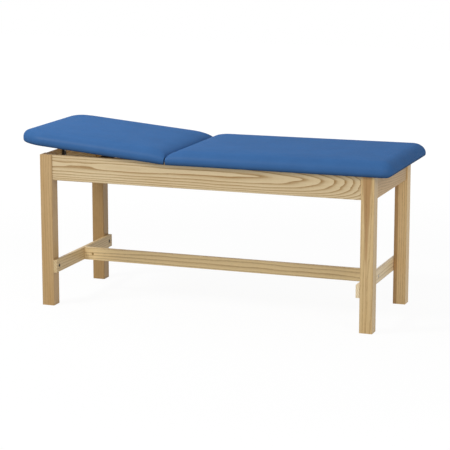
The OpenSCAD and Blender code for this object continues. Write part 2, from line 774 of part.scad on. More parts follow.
prop_arm(-1);  // prop_arm_front
prop_arm(1);  // prop_arm_back
prop_rod();
prop_spreader();
prop_caps();
hinge_seat_leaf();
hinge_seat_screws();
hinge_pin();
hinge_back_leaf();
hinge_back_screws();
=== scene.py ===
import json
import math

import bpy
import numpy as np
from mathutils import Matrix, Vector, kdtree


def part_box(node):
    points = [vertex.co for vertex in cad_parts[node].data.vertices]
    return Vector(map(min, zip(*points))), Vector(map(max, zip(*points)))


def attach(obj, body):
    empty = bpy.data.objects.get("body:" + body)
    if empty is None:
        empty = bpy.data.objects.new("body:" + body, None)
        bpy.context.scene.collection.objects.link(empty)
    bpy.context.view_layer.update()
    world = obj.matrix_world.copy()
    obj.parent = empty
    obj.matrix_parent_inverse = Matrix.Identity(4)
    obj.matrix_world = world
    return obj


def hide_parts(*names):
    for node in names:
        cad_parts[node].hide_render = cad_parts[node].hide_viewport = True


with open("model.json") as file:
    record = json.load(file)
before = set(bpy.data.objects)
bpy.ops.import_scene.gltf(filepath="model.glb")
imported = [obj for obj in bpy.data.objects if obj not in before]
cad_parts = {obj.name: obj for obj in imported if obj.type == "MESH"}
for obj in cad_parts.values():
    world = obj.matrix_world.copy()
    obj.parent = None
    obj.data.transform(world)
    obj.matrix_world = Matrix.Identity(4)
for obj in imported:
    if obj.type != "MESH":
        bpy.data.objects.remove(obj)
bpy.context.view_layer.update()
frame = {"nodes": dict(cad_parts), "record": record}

# ---------------------------------------------------------------- sizes, in metres
# The same named sizes as in the part's source.
SEAT_LEN, BACK_LEN, TOP_W = 1.087, 0.780, 0.688
BOARD_T, BACK_BOARD_T, FOAM_T, SEAT_RISE = 0.018, 0.0175, 0.0335, 0.005
PAD_SIDE, PAD_LIP, PAD_CROWN, PAD_DRAW = 0.0115, 0.014, 0.003, 0.002
PAD_MID, PAD_ROLL, JOINT_ROLL = 0.006, 0.075, 0.100
PAD_UNDER, PAD_HEEL = 0.008, 0.025
PAD_SKIN, END_GAP = 0.0045, 0.0032
CROWN_FADE, CROWN_START = 0.2, 0.3
POCKET_GAP, LIP_GAP = 0.0004, 0.0015
FRAME_H, FRAME_LEN, LEG_W, FOOT_OVERHANG = 0.737, 1.652, 0.062, 0.079
# Each pad's length, rise towards the outer end, radius of the outer corners and length of the nose
SEAT_FORM, BACK_FORM = (SEAT_LEN, SEAT_RISE, 0.050, 0.062), (BACK_LEN, 0.0, 0.150, 0.098)
REST_TILT = math.radians(5.0)
HALF_W = TOP_W / 2 - PAD_SIDE - LIP_GAP
POCKET_HALF = HALF_W + LIP_GAP
HINGE_X = float(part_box("hinge_pin")[0][0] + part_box("hinge_pin")[1][0]) / 2
HINGE_Z = FRAME_H + BOARD_T
FOOT_X = HINGE_X + SEAT_LEN - FOOT_OVERHANG
HEAD_X = FOOT_X - FRAME_LEN
MID_X = (FOOT_X + HEAD_X) / 2

# ---------------------------------------------------------------- camera
CAMERA_AT = (MID_X + 2.9234, -8.0415, 2.1106)
CAMERA_YAW, CAMERA_PITCH = math.radians(20.011), math.radians(11.385)
FOCAL_PX, IMAGE_PX, SENSOR, FAR_CLIP = 1809.3, 450, 36.0, 100


def make_camera():
    data = bpy.data.cameras.new("camera")
    data.sensor_width = SENSOR
    data.lens = FOCAL_PX / IMAGE_PX * SENSOR
    data.clip_end = FAR_CLIP
    cam = bpy.data.objects.new("camera", data)
    cam.location = CAMERA_AT
    cam.rotation_euler = (math.pi / 2 - CAMERA_PITCH, 0, CAMERA_YAW)
    bpy.context.scene.collection.objects.link(cam)
    bpy.context.scene.camera = cam


# ---------------------------------------------------------------- node helpers
class Nodes:
    """Short names for adding and linking nodes in one tree. A value that is put on a socket is another
    node's output, which is linked, or a constant."""

    def __init__(self, tree):
        self.tree = tree

    def add(self, kind, **values):
        node = self.tree.nodes.new(kind)
        for key, value in values.items():
            setattr(node, key, value)
        return node

    def put(self, socket, value):
        if isinstance(value, bpy.types.NodeSocket):
            self.tree.links.new(value, socket)
        else:
            socket.default_value = value

    def math(self, operation, *values, clamp=False):
        node = self.add("ShaderNodeMath", operation=operation, use_clamp=clamp)
        for socket, value in zip(node.inputs, values):
            self.put(socket, value)
        return node.outputs[0]

    def line(self, value, slope, start):
        """start + slope * value."""
        return self.math("ADD", self.math("MULTIPLY", value, slope), start)

    def vector(self, operation, first, second):
        node = self.add("ShaderNodeVectorMath", operation=operation)
        self.put(node.inputs[0], first)
        self.put(node.inputs["Scale" if operation == "SCALE" else 1], second)
        return node.outputs[0]

    def parts(self, vector):
        """The X, Y and Z of a vector."""
        node = self.add("ShaderNodeSeparateXYZ")
        self.put(node.inputs[0], vector)
        return node.outputs

    def coordinates(self, kind):
        return self.add("ShaderNodeTexCoord").outputs[kind]

    def mix(self, factor, a, b):
        """Colour a at 0 and colour b at 1. A constant colour is linear red, green and blue."""
        node = self.add("ShaderNodeMix", data_type="RGBA")
        self.put(node.inputs[0], factor)
        for socket, colour in ((node.inputs[6], a), (node.inputs[7], b)):
            self.put(socket, (*colour, 1) if isinstance(colour, tuple) else colour)
        return node.outputs[2]

    def noise(self, vector, scale, detail=2.0, roughness=0.5, out="Fac"):
        node = self.add("ShaderNodeTexNoise")
        self.put(node.inputs["Vector"], vector)
        self.put(node.inputs["Scale"], scale)
        node.inputs["Detail"].default_value = detail
        node.inputs["Roughness"].default_value = roughness
        return node.outputs[out]

    def stretch(self, vector, scale):
        node = self.add("ShaderNodeMapping")
        self.put(node.inputs["Vector"], vector)
        node.inputs["Scale"].default_value = scale
        return node.outputs[0]

    def ramp(self, factor, stops, smooth=False):
        """A curve through stops, which are pairs of a place from 0 to 1 and a value."""
        node = self.add("ShaderNodeValToRGB")
        node.color_ramp.interpolation = "EASE" if smooth else "LINEAR"
        while len(node.color_ramp.elements) < len(stops):
            node.color_ramp.elements.new(0.5)
        for element, (place, value) in zip(node.color_ramp.elements, stops):
            element.position = place
            element.color = (value, value, value, 1)
        self.put(node.inputs[0], factor)
        return node.outputs[0]

    def bump(self, height, strength, distance, normal=None):
        node = self.add("ShaderNodeBump")
        node.inputs["Strength"].default_value = strength
        node.inputs["Distance"].default_value = distance
        self.put(node.inputs["Height"], height)
        if normal is not None:
            self.put(node.inputs["Normal"], normal)
        return node.outputs[0]

    def seen(self):
        """1 for rays of the camera, mirror rays and rays through glass, and 0 for all others."""
        path = self.add("ShaderNodeLightPath").outputs
        straight = self.math("MAXIMUM", path["Is Camera Ray"], path["Is Glossy Ray"])
        return self.math("MAXIMUM", straight, path["Is Transmission Ray"])


def linear(red, green, blue):
    """An sRGB colour of 0 to 255 as linear values."""
    return tuple(c / 12.92 if c <= 0.04045 else ((c + 0.055) / 1.055) ** 2.4
                 for c in (red / 255, green / 255, blue / 255))


def shade(colour, *factors):
    """A linear colour times one factor, or times one for each of red, green and blue."""
    return tuple(min(1, c * f) for c, f in zip(colour, factors * 3 if len(factors) == 1 else factors))


def new_group(name, vectors, numbers, outputs):
    """A shader node group with named sockets: its nodes, its inputs and its outputs."""
    tree = bpy.data.node_groups.new(name, "ShaderNodeTree")
    for title in vectors:
        tree.interface.new_socket(title, in_out="INPUT", socket_type="NodeSocketVector")
    for title in numbers:
        tree.interface.new_socket(title, in_out="INPUT", socket_type="NodeSocketFloat")
    for title in outputs:
        tree.interface.new_socket(title, in_out="OUTPUT", socket_type="NodeSocketFloat")
    nodes = Nodes(tree)
    return nodes, nodes.add("NodeGroupInput").outputs, nodes.add("NodeGroupOutput").inputs


def group_node(nodes, tree, **values):
    node = nodes.add("ShaderNodeGroup", node_tree=tree)
    for title, value in values.items():
        nodes.put(node.inputs[title.replace("_", " ")], value)
    return node.outputs


def new_material(name):
    material = bpy.data.materials.new(name)
    material.use_nodes = True
    material.node_tree.nodes.clear()
    return material, Nodes(material.node_tree)


def new_principled(name):
    """A material of one Principled shader: its nodes, the shader's inputs and the object's coordinates."""
    material, nodes = new_material(name)
    shader = nodes.add("ShaderNodeBsdfPrincipled")
    nodes.put(nodes.add("ShaderNodeOutputMaterial").inputs[0], shader.outputs[0])
    return material, nodes, shader.inputs, nodes.coordinates("Object")


# ---------------------------------------------------------------- shared effects
# Scales of a board's noises for each metre along the grain and, twice, across it
WARP_SCALE, UNEVEN_SCALE, CLOUD_SCALE = (2.4, 9.0, 9.0), (0.8, 22.0, 22.0), (2.2, 17.0, 17.0)
STREAK_SCALE, FIBRE_SCALE, PORE_SCALE = (3.5, 95.0, 95.0), (9.0, 420.0, 420.0), (55.0, 1500.0, 1500.0)
SNAKE_TURN, SNAKE_LEAN, UNEVEN_RINGS = 2.6, 0.4, 1.6
# How dark a ring is across its width
RING_STOPS = [(0.0, 0.1), (0.06, 1.0), (0.17, 0.8), (0.38, 0.26), (0.7, 0.05), (1.0, 0.0)]
PORE_STOPS = [(0.0, 1.0), (0.38, 1.0), (0.5, 0.0), (1.0, 0.0)]
VINYL_CELL, CELL_STOPS = 0.0011, [(0.0, 0.0), (0.12, 0.55), (0.4, 1.0)]
METAL_FINENESS = 140.0


def make_wood_group():
    """Ash-like grain in a board whose length is X. The rings are the distance from a pith line that
    lies Pith away, snakes in Y by Swing * sin(SNAKE_TURN * x) and in Z by SNAKE_LEAN of that, and bends
    off in Y by Flare * x * x * x where x is positive. Slow noise warps the place by up to half of
    Waver and the count of rings by up to UNEVEN_RINGS, so that a flat face cuts them into arches and an
    edge into lines. Each ring is a dark line that fades to one side, and there are pores, fine fibres
    and a slow cloud of tone."""
    nodes, given, out = new_group("wood_grain", ("Vector", "Pith"),
        ("Swing", "Flare", "Ring Width", "Waver", "Contrast"), ("Ring", "Pores", "Tone", "Height"))

    def noise(scale, detail, **more):
        return nodes.noise(nodes.stretch(given["Vector"], scale), 1.0, detail=detail, **more)

    warp = nodes.vector("SUBTRACT", noise(WARP_SCALE, 3.0, out="Color"), (0.5, 0.5, 0.5))
    moved = nodes.vector("ADD", given["Vector"], nodes.vector("SCALE", warp, given["Waver"]))
    x, y, z = nodes.parts(nodes.vector("SUBTRACT", moved, given["Pith"]))
    snake = nodes.math("MULTIPLY", nodes.math("SINE", nodes.math("MULTIPLY", x, SNAKE_TURN)), given["Swing"])
    bend = nodes.math("POWER", nodes.math("MAXIMUM", x, 0.0), 3.0)
    off = nodes.math("ADD", snake, nodes.math("MULTIPLY", bend, given["Flare"]))
    dy = nodes.math("SUBTRACT", y, off)
    dz = nodes.math("ADD", z, nodes.math("MULTIPLY", snake, SNAKE_LEAN))
    radius = nodes.math("SQRT", nodes.math("ADD", nodes.math("MULTIPLY", dy, dy), nodes.math("MULTIPLY", dz, dz)))
    rings = nodes.math("DIVIDE", radius, given["Ring Width"])
    rings = nodes.math("ADD", rings, nodes.math("MULTIPLY", noise(UNEVEN_SCALE, 2.0), UNEVEN_RINGS))
    line = nodes.ramp(nodes.math("FRACT", rings), RING_STOPS)
    fibre, streak = noise(FIBRE_SCALE, 3.0, roughness=0.6), noise(STREAK_SCALE, 2.0)
    pores = nodes.math("MULTIPLY", nodes.ramp(noise(PORE_SCALE, 1.0), PORE_STOPS), nodes.line(line, 0.8, 0.2))
    cloud = noise(CLOUD_SCALE, 3.0)
    ring = nodes.math("MULTIPLY", line, given["Contrast"])
    nodes.put(out["Ring"], nodes.math("MULTIPLY", ring, nodes.line(streak, 1.1, 0.4), clamp=True))
    nodes.put(out["Pores"], pores)
    tone = nodes.math("ADD", nodes.math("MULTIPLY", cloud, 0.5), nodes.math("MULTIPLY", streak, 0.3))
    nodes.put(out["Tone"], nodes.math("ADD", tone, nodes.math("MULTIPLY", fibre, 0.2)))
    nodes.put(out["Height"], nodes.math("SUBTRACT", nodes.math("MULTIPLY", fibre, 0.25), pores))
    return nodes.tree


def make_vinyl_group():
    """Embossed vinyl: small rounded cells with creases between them and a finer grain over both. Crease
    is 1 in the valleys between cells, and Mottle is a slow cloud."""
    nodes, given, out = new_group("vinyl_grain", ("Vector",), ("Cell Size",), ("Height", "Crease", "Mottle"))
    inverse = nodes.math("DIVIDE", 1.0, given["Cell Size"])
    wobble = nodes.noise(given["Vector"], nodes.math("MULTIPLY", inverse, 0.35), out="Color")
    shift = nodes.vector("SCALE", wobble, nodes.math("MULTIPLY", given["Cell Size"], 1.4))
    cells = nodes.add("ShaderNodeTexVoronoi", feature="DISTANCE_TO_EDGE")
    nodes.put(cells.inputs["Vector"], nodes.vector("ADD", given["Vector"], shift))
    nodes.put(cells.inputs["Scale"], inverse)
    rounded = nodes.ramp(cells.outputs["Distance"], CELL_STOPS, smooth=True)
    fine = nodes.noise(given["Vector"], nodes.math("MULTIPLY", inverse, 2.6))
    nodes.put(out["Height"], nodes.math("ADD", rounded, nodes.math("MULTIPLY", fine, 0.35)))
    nodes.put(out["Crease"], nodes.math("SUBTRACT", 1.0, rounded))
    nodes.put(out["Mottle"], nodes.noise(given["Vector"], 9.0, detail=3.0, roughness=0.55))
    return nodes.tree


def make_metal_group():
    """Drawn or plated steel: fine streaks along X, and a slow cloud."""
    nodes, given, out = new_group("metal_streaks", ("Vector",), ("Fineness",), ("Streak", "Cloud"))
    streak = nodes.noise(nodes.stretch(given["Vector"], (1.0, 12.0, 12.0)), given["Fineness"])
    nodes.put(out["Streak"], streak)
    nodes.put(out["Cloud"], nodes.noise(given["Vector"], 25.0))
    return nodes.tree


# ---------------------------------------------------------------- materials
# The darker stripe's brown is heartwood and, on the front foot leg, painted shade under the pad
PALE_WOOD, WARM_WOOD, HEART_AND_SHADE_WOOD = linear(224, 201, 155), linear(206, 176, 122), linear(156, 104, 52)
RING_WOOD, PORE_WOOD = linear(158, 118, 62), linear(126, 92, 52)
CREAM_TINT, BROWN_TINT = linear(240, 224, 192), linear(178, 130, 76)
HEART_AND_SHADE_SHARE, HEART_AND_SHADE_STOPS = 0.62, [(0.0, 1.0), (0.12, 0.85), (0.42, 0.0), (1.0, 0.0)]
TURNS = {"x": (0, 0, 0), "y": (0, 0, -math.pi / 2), "z": (0, math.pi / 2, 0)}
PLY_FACE, PLY_WARM, PLY_RING = linear(214, 184, 140), linear(193, 157, 110), linear(158, 118, 74)
# The board edges' blue is the cover's, painted darker as shade in the gap at the joint
PLY_SHADED_EDGE, PLY_SHADED_LINE, PLY_T = linear(46, 78, 120), linear(38, 66, 104), 0.0015
# Painted shade on the vinyl: how dark it makes the blue, from a face that looks up at 0 to one that looks down at
# 1
PAINTED_SHADE_STOPS = [(0.0, 0.0), (0.06, 0.14), (0.3, 0.2), (0.5, 0.2), (0.7, 0.95), (1.0, 1.0)]
# The painted shade's largest share, and the factors of its darkest blue
PAINTED_SHADE_SHARE, PAINTED_SHADE_FACTORS = 0.62, (0.32, 0.22, 0.15)


def heart_and_shade_stripe(nodes, place, tip, length, half, middle):
    """Share of a darker stripe in a board whose length is X: heartwood, and on the front foot leg also
    painted shade under the pad. It is 1 in a stripe round Z = middle that is half wide to each side,
    narrows over the given length and ends in a point at X = tip, with a frayed edge."""
    x, _, z = nodes.parts(place)
    width = nodes.math("DIVIDE", nodes.math("SUBTRACT", tip, x), length, clamp=True)
    off = nodes.math("DIVIDE", nodes.math("ABSOLUTE", nodes.math("SUBTRACT", z, middle)), half)
    fray = nodes.noise(nodes.stretch(place, (7.0, 130.0, 130.0)), 1.0)
    edge = nodes.math("ADD", nodes.math("SUBTRACT", off, width), nodes.math("MULTIPLY", fray, 0.5))
    return nodes.ramp(edge, HEART_AND_SHADE_STOPS, smooth=True)


def make_wood(name, tree, along, offset, pith, swing=0.006, flare=0.0, ring=0.007, waver=0.012,
              contrast=0.45, tone=0.0, tint=None, heart_and_shade=None):
    """Clear-finished hardwood. The board's own axes start at offset in the object's, and their X is the
    object's axis named by along, in which the grain runs. pith is where the middle of the tree is in
    them. tone, from -1 to 1, is how far the wood is from the plain colour towards tint, or where none
    is given, towards brown below 0 and cream above. heart_and_shade is the form of a darker stripe, as
    heart_and_shade_stripe takes it: heartwood, and on the front foot leg also painted shade under the pad."""
    material, nodes, shader, place = new_principled(name)
    turn = nodes.add("ShaderNodeMapping", vector_type="TEXTURE")
    nodes.put(turn.inputs["Vector"], place)
    turn.inputs["Location"].default_value = offset
    turn.inputs["Rotation"].default_value = TURNS[along]
    own = turn.outputs[0]
    grain = group_node(nodes, tree, Vector=own, Pith=pith, Swing=swing, Flare=flare, Ring_Width=ring,
                       Waver=waver, Contrast=contrast)
    base = nodes.mix(nodes.ramp(grain["Tone"], [(0.36, 0.0), (0.64, 1.0)]), PALE_WOOD, WARM_WOOD)
    if tone:
        base = nodes.mix(abs(tone), base, tint or (BROWN_TINT if tone < 0 else CREAM_TINT))
    # A darker stripe of heartwood, which on the front foot leg is also painted shade under the pad
    if heart_and_shade:
        share = nodes.math("MULTIPLY", heart_and_shade_stripe(nodes, own, *heart_and_shade), HEART_AND_SHADE_SHARE)
        base = nodes.mix(share, base, HEART_AND_SHADE_WOOD)
    base = nodes.mix(grain["Ring"], base, RING_WOOD)
    base = nodes.mix(nodes.math("MULTIPLY", grain["Pores"], 0.4), base, PORE_WOOD)
    nodes.put(shader["Base Color"], base)
    nodes.put(shader["Roughness"], nodes.line(grain["Ring"], 0.12, 0.44))
    shader["Specular IOR Level"].default_value = 0.3
    shader["Coat Weight"].default_value = 0.08
    shader["Coat Roughness"].default_value = 0.3
    nodes.put(shader["Normal"], nodes.bump(grain["Height"], 0.35, 0.0002))
    return material


def make_plywood(name, tree):
    """Birch-like plywood: a rotary-cut face with broad figure, and the cover's blue turned over its
    edges, painted darker than the cover as shade in the gap at the joint, through which the plies,
    each PLY_T thick, print faintly."""
    material, nodes, shader, place = new_principled(name)
    grain = group_node(nodes, tree, Vector=place, Pith=(0.0, 0.0, -0.5), Swing=0.02, Ring_Width=0.02,
                       Waver=0.12, Contrast=0.3)
    face = nodes.mix(nodes.ramp(grain["Tone"], [(0.3, 0.0), (0.7, 1.0)]), PLY_FACE, PLY_WARM)
    face = nodes.mix(grain["Ring"], face, PLY_RING)
    ply = nodes.math("DIVIDE", nodes.math("PINGPONG", nodes.parts(place)[2], PLY_T), PLY_T)
    # Painted shade: the edges' blue is darker than the cover's
    edge = nodes.mix(nodes.ramp(ply, [(0.35, 0.0), (0.6, 1.0)]), PLY_SHADED_EDGE, PLY_SHADED_LINE)
    upright = nodes.math("ABSOLUTE", nodes.parts(nodes.coordinates("Normal"))[2])
    is_face = nodes.ramp(upright, [(0.6, 0.0), (0.75, 1.0)])
    nodes.put(shader["Base Color"], nodes.mix(is_face, edge, face))
    nodes.put(shader["Roughness"], nodes.line(grain["Tone"], 0.15, 0.5))
    nodes.put(shader["Normal"], nodes.bump(grain["Height"], 0.4, 0.0002))
    return material


def make_vinyl(name, tree, colour):
    """Upholstery vinyl of one colour: embossed cells, with painted shade in the creases and on faces that look
    sideways or down, and a soft satin gloss that shows where it is seen head-on."""
    material, nodes, shader, place = new_principled(name)
    grain = group_node(nodes, tree, Vector=place, Cell_Size=VINYL_CELL)
    mottle = nodes.ramp(grain["Mottle"], [(0.3, 0.0), (0.7, 1.0)])
    base = nodes.mix(mottle, shade(colour, 0.95), shade(colour, 1.05))
    # Painted shade in the creases between the cells
    base = nodes.mix(nodes.math("MULTIPLY", grain["Crease"], 0.30), base, shade(colour, 0.55))
    # Painted shade: the blue turns darker on faces that look sideways or down
    up = nodes.math("MULTIPLY", nodes.parts(nodes.coordinates("Normal"))[2], 0.5)
    painted_shade = nodes.ramp(nodes.math("SUBTRACT", 0.5, up), PAINTED_SHADE_STOPS)
    base = nodes.mix(nodes.math("MULTIPLY", painted_shade, PAINTED_SHADE_SHARE), base, shade(colour, *PAINTED_SHADE_FACTORS))
    nodes.put(shader["Base Color"], base)
    rough = nodes.line(grain["Crease"], 0.14, 0.42)
    nodes.put(shader["Roughness"], nodes.math("ADD", rough, nodes.math("MULTIPLY", grain["Mottle"], 0.06)))
    shader["Specular IOR Level"].default_value = 0.006
    facing = nodes.add("ShaderNodeLayerWeight")
    facing.inputs["Blend"].default_value = 0.5
    head_on = nodes.math("POWER", nodes.math("SUBTRACT", 1.0, facing.outputs["Facing"]), 1.5)
    nodes.put(shader["Coat Weight"], nodes.math("MULTIPLY", head_on, 0.22))
    shader["Coat Roughness"].default_value = 0.42
    soft = nodes.bump(nodes.noise(nodes.stretch(place, (3.0, 5.0, 3.0)), 1.0), 0.5, 0.004)
    nodes.put(shader["Normal"], nodes.bump(grain["Height"], 0.5, 0.00022, soft))
    return material


def make_steel(name, tree, colour, rough, metallic=1.0):
    material, nodes, shader, place = new_principled(name)
    streaks = group_node(nodes, tree, Vector=place, Fineness=METAL_FINENESS)
    nodes.put(shader["Base Color"], nodes.mix(streaks["Cloud"], shade(colour, 0.82), shade(colour, 1.12)))
    shader["Metallic"].default_value = metallic
    nodes.put(shader["Roughness"], nodes.line(streaks["Streak"], 0.2, rough))
    nodes.put(shader["Normal"], nodes.bump(streaks["Streak"], 0.15, 0.0001))
    return material


def make_rubber(name):
    material, nodes, shader, place = new_principled(name)
    dust = nodes.noise(place, 60.0, detail=4.0, roughness=0.6)
    nodes.put(shader["Base Color"], nodes.mix(dust, linear(34, 34, 36), linear(66, 65, 64)))
    nodes.put(shader["Roughness"], nodes.line(dust, 0.2, 0.65))
    nodes.put(shader["Normal"], nodes.bump(nodes.noise(place, 900.0), 0.3, 0.0002))
    return material


# ---------------------------------------------------------------- surfaces
def add_mesh(name, points, faces, material, smooth=True):
    mesh = bpy.data.meshes.new(name)
    mesh.from_pydata(points.tolist() if hasattr(points, "tolist") else points, [], faces)
    mesh.polygons.foreach_set("use_smooth", np.full(len(mesh.polygons), smooth))
    mesh.materials.append(material)
    mesh.update()
    obj = bpy.data.objects.new(name, mesh)
    bpy.context.scene.collection.objects.link(obj)
    return obj


def dome(depth, radius):
    """A quarter circle: 0 at depth 0, rising to 1 at depth radius and staying there."""
    return np.sqrt(np.maximum(0, 1 - np.clip((radius - depth) / radius, 0, 1) ** 2))


def ease(depth, radius):
    """A cosine ramp from 0 at depth 0 to 1 at depth radius."""
    return (1 - np.cos(np.pi * np.clip(depth / radius, 0, 1))) / 2


# How finely a pad is drawn: along it, and round its section
PAD_STEP, SWELL_STEP, ROLL_POINTS, CORNER_POINTS = 0.012, 0.02, 24, 40
CROWN_STEPS, ROUND_STEPS, UNDER_STEPS, WALL_STEPS, ROOF_STEPS = 40, 20, 8, 4, 30
# The outline's end past the pad's, the most of the lip's width that its lower edge's roll takes, and
# how much the wall of the last sections leans inwards
PAD_TIP, UNDER_SHARE, WALL_LEAN = 0.0001, 0.7, 0.02


def pad_stations(length, round_end, step):
    """Distances from the hinge pin: quarter-cosine steps over the roll at the joint, even steps along
    the pad, and quarter-cosine steps round the outer corners."""
    roll = END_GAP + JOINT_ROLL * (1 - np.cos(np.linspace(0, np.pi / 2, ROLL_POINTS)))
    corner = length - round_end * (1 - np.sin(np.linspace(0, np.pi / 2, CORNER_POINTS)))
    count = int((corner[0] - roll[-1]) / step)
    return np.concatenate([roll, np.linspace(roll[-1], corner[0], count + 2)[1:-1], corner])


def pad_sections(form, step=PAD_STEP):
    """The closed sections of a pad, as an array of stations x points x (x, y, z) with z = 0 under the
    board. Each is a crown, a quarter ellipse that rolls over the side, a smaller one under the widest
    line, the lip's inner wall and the roof of the board's pocket. Past the board's end the pocket is
    closed: its walls stand still and its roof is as low as the lip. The plan's sides draw in by a
    sine and its corners are quarter circles, the top falls in quarter ellipses to the nose and to the
    joint, and the side's roll narrows with the top's height. The lip rises towards the nose."""
    length, rise, corner_r, nose_len = form
    x = pad_stations(length, max(corner_r, nose_len), step)[:, None]
    nose = length + PAD_TIP - x
    draw = PAD_DRAW * np.sin(np.pi * (x - END_GAP) / (length - END_GAP))
    half = TOP_W / 2 - draw - corner_r * (1 - dome(nose, corner_r))
    foam = FOAM_T + rise * x / length
    full = BOARD_T + foam - PAD_MID
    top = np.minimum(BOARD_T + np.maximum(PAD_SKIN, foam * dome(x - END_GAP, JOINT_ROLL)),
                     PAD_MID + full * dome(nose, nose_len))
    roll = PAD_ROLL * (top - PAD_MID) / full
    low = PAD_MID - (PAD_MID + PAD_LIP) * dome(nose, PAD_HEEL)
    crown = PAD_CROWN * ease(x - END_GAP - JOINT_ROLL * CROWN_START, CROWN_FADE)
    crown = crown * ease(nose - nose_len * CROWN_START, CROWN_FADE)
    board_end = length - PAD_SIDE
    inner_r = corner_r - PAD_SIDE
    closed = x > board_end + 1e-9
    wall_y = POCKET_HALF - inner_r * (1 - dome(np.maximum(board_end - x, 0), inner_r))
    roof_z = np.where(closed, low, BOARD_T)
    wall_y = np.where(closed, POCKET_HALF - inner_r, wall_y)
    under = np.minimum(PAD_UNDER, (half - wall_y) * UNDER_SHARE)
    u = np.linspace(-1, 1, 2 * CROWN_STEPS + 1)[None, :]
    crown_y, crown_z = (half - roll) * u, top + crown * (1 - u ** 2)
    k = np.linspace(0, np.pi / 2, ROUND_STEPS + 1)[None, 1:]
    right = [(half - roll + roll * np.sin(k), PAD_MID + (top - PAD_MID) * np.cos(k))]
    k = np.linspace(0, np.pi / 2, UNDER_STEPS + 1)[None, 1:]
    right.append((half - under + under * np.cos(k), PAD_MID - (PAD_MID - low) * np.sin(k)))
    k = np.linspace(0, 1, WALL_STEPS + 1)[None, :]
    right.append((wall_y * np.where(closed, 1 - WALL_LEAN * k, 1 + 0 * k), low + (roof_z - low) * k))
    right_y = np.concatenate([np.broadcast_to(a, (len(x), a.shape[1])) for a, b in right], axis=1)
    right_z = np.concatenate([np.broadcast_to(b, (len(x), b.shape[1])) for a, b in right], axis=1)
    v = np.linspace(1, -1, ROOF_STEPS + 1)[None, 1:-1]
    y = np.concatenate([crown_y, right_y, right_y[:, -1:] * v, -right_y[:, ::-1]], axis=1)
    z = np.concatenate([crown_z, right_z, np.broadcast_to(roof_z, (len(x), v.shape[1])), right_z[:, ::-1]], axis=1)
    return np.stack([np.broadcast_to(x, y.shape), y, z], axis=2)


def pad_faces(stations, around):
    """Quads between the sections, and one face over each end."""
    i = np.arange(stations - 1)[:, None] * around
    j = np.arange(around)[None, :]
    jn = (j + 1) % around
    faces = np.stack([i + j, i + around + j, i + around + jn, i + jn], axis=2).reshape(-1, 4).tolist()
    faces.append(list(range(around)))
    faces.append(list(range(stations * around - 1, (stations - 1) * around - 1, -1)))
    return faces


# What is taken off each point's way, the limit of a way, the copy's voxels and the frames that run
SWELL_START, SWELL_CAP, SWELL_VOXEL, SWELL_FRAMES = 0.0015, 0.004, 0.007, 20
# How far round the pocket and over its roof the copy is held, how far below the widest line it is held
# and how far from the joint's face, and how high over the lip's lowest line a point starts to move
HELD_SIDE, HELD_ROOF, HELD_EDGE, HELD_LIP = 0.002, 0.003, 0.004, 0.001
# The nearest points that count, the least distance squared, and the widths over which a way fades out
SWELL_NEAR, NEAR_SOFT, LIP_FADE, JOINT_FADE = 8, 1e-7, 0.012, 0.03


def swell(form, points):
    """How far each point of a pad moves when its cover is blown up: a voxel copy of the pad is a cloth
    under pressure, held round the board's pocket, under the widest line and at the joint. The way
    that a point goes is that of the nearest points of the copy, weighted by 1 / distance squared and
    limited to SWELL_CAP by cap * tanh(way / cap)."""
    length = form[0]
    grid = pad_sections(form, SWELL_STEP)
    mesh = bpy.data.meshes.new("swell")
    mesh.from_pydata(grid.reshape(-1, 3).tolist(), [], pad_faces(*grid.shape[:2]))
    blown = bpy.data.objects.new("swell", mesh)
    bpy.context.scene.collection.objects.link(blown)
    remesh = blown.modifiers.new("voxels", "REMESH")
    remesh.mode, remesh.voxel_size = "VOXEL", SWELL_VOXEL
    mesh = bpy.data.meshes.new_from_object(blown.evaluated_get(bpy.context.evaluated_depsgraph_get()))
    blown.modifiers.clear()
    blown.data = mesh
    start = np.empty(len(mesh.vertices) * 3)
    mesh.vertices.foreach_get("co", start)
    start = start.reshape(-1, 3)
    inside = (np.abs(start[:, 1]) < POCKET_HALF + HELD_SIDE) & (start[:, 0] < length - PAD_SIDE + HELD_SIDE)
    inside = inside & (start[:, 2] < BOARD_T + HELD_ROOF)
    held = inside | (start[:, 2] < PAD_MID - HELD_EDGE) | (start[:, 0] < END_GAP + HELD_EDGE)
    group = blown.vertex_groups.new(name="held")
    group.add(np.flatnonzero(held).tolist(), 1.0, "REPLACE")
    cloth = blown.modifiers.new("cover", "CLOTH")
    settings = cloth.settings
    settings.quality, settings.mass = 6, 0.6
    settings.tension_stiffness = settings.compression_stiffness = settings.shear_stiffness = 60
    settings.bending_stiffness = 3
    settings.vertex_group_mass = "held"
    settings.use_pressure, settings.uniform_pressure_force = True, 0.45
    settings.effector_weights.gravity = 0
    cloth.point_cache.frame_start, cloth.point_cache.frame_end = 1, SWELL_FRAMES
    scene = bpy.context.scene
    for frame_number in range(1, SWELL_FRAMES + 1):
        scene.frame_set(frame_number)
    ended = blown.evaluated_get(bpy.context.evaluated_depsgraph_get()).to_mesh()
    end = np.empty(len(start) * 3)
    ended.vertices.foreach_get("co", end)
    way = end.reshape(-1, 3) - start
    size = np.linalg.norm(way, axis=1, keepdims=True) + 1e-9
    way *= SWELL_CAP * np.tanh(size / SWELL_CAP) / size
    bpy.data.objects.remove(blown)
    scene.frame_set(1)
    tree = kdtree.KDTree(len(start))
    for i, point in enumerate(start):
        tree.insert(point, i)
    tree.balance()
    moved = np.zeros_like(points)
    for i in np.flatnonzero(points[:, 2] > -PAD_LIP + HELD_LIP):
        near = tree.find_n(points[i], SWELL_NEAR)
        share = np.array([1 / (d * d + NEAR_SOFT) for _, _, d in near])
        moved[i] = (way[[k for _, k, _ in near]] * share[:, None]).sum(axis=0) / share.sum()
    return moved


